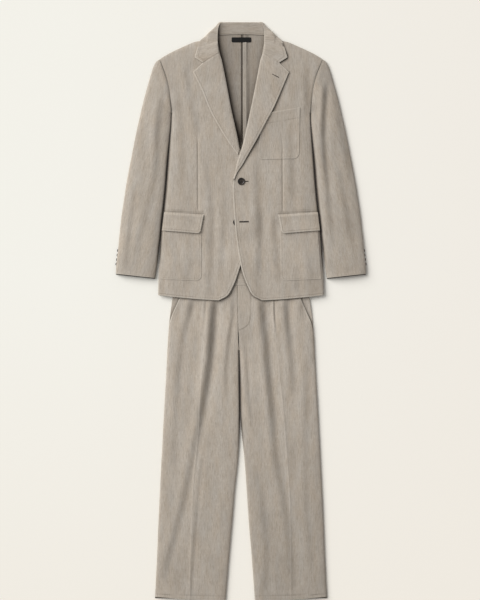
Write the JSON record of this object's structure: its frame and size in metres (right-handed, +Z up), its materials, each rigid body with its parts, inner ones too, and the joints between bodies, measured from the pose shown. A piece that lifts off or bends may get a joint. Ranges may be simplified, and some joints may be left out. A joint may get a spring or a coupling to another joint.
{
  "type": "two-piece suit laid flat",
  "caption": "Two-piece suit laid flat, front up: notched-lapel jacket with patch pockets over pleated straight trousers.",
  "frame": {"origin": "centre of the laid suit's bounding box, on the surface it lies on", "axes": "+Y along the suit from trouser hems to collar, +X to the wearer's left, +Z up out of the surface, through the jacket's front"},
  "size_m": [0.7028, 1.6181, 0.0129],
  "materials": {
    "suit_cloth": "matt greige melange weave with fine vertical slubs",
    "facing_cloth": "the same cloth, turned and pressed as collar, stand and lapels",
    "horn_buttons": "dark horn-look, soft sheen",
    "label_weave": "plain black woven label"
  },
  "bodies": {
    "root": {"breast_pocket": "suit_cloth", "button_fastened": "horn_buttons", "button_lower": "horn_buttons", "collar_fall": "facing_cloth", "collar_stand": "facing_cloth", "cuff_button_left_1": "horn_buttons", "cuff_button_left_2": "horn_buttons", "cuff_button_left_3": "horn_buttons", "cuff_button_left_4": "horn_buttons", "cuff_button_right_1": "horn_buttons", "cuff_button_right_2": "horn_buttons", "cuff_button_right_3": "horn_buttons", "cuff_button_right_4": "horn_buttons", "hip_pocket_left": "suit_cloth", "hip_pocket_right": "suit_cloth", "jacket_back_left": "suit_cloth", "jacket_back_right": "suit_cloth", "jacket_front_left": "suit_cloth", "jacket_front_right": "suit_cloth", "lapel_left": "facing_cloth", "lapel_right": "facing_cloth", "neck_label": "label_weave", "pocket_flap_left": "suit_cloth", "pocket_flap_right": "suit_cloth", "sleeve_top_left": "suit_cloth", "sleeve_top_right": "suit_cloth", "sleeve_under_left": "suit_cloth", "sleeve_under_right": "suit_cloth", "trouser_back_left": "suit_cloth", "trouser_back_right": "suit_cloth", "trouser_front_left": "suit_cloth", "trouser_front_right": "suit_cloth", "trouser_pocket_facing_left": "suit_cloth", "trouser_pocket_facing_right": "suit_cloth", "waistband": "suit_cloth"}
  },
  "joints": []
}
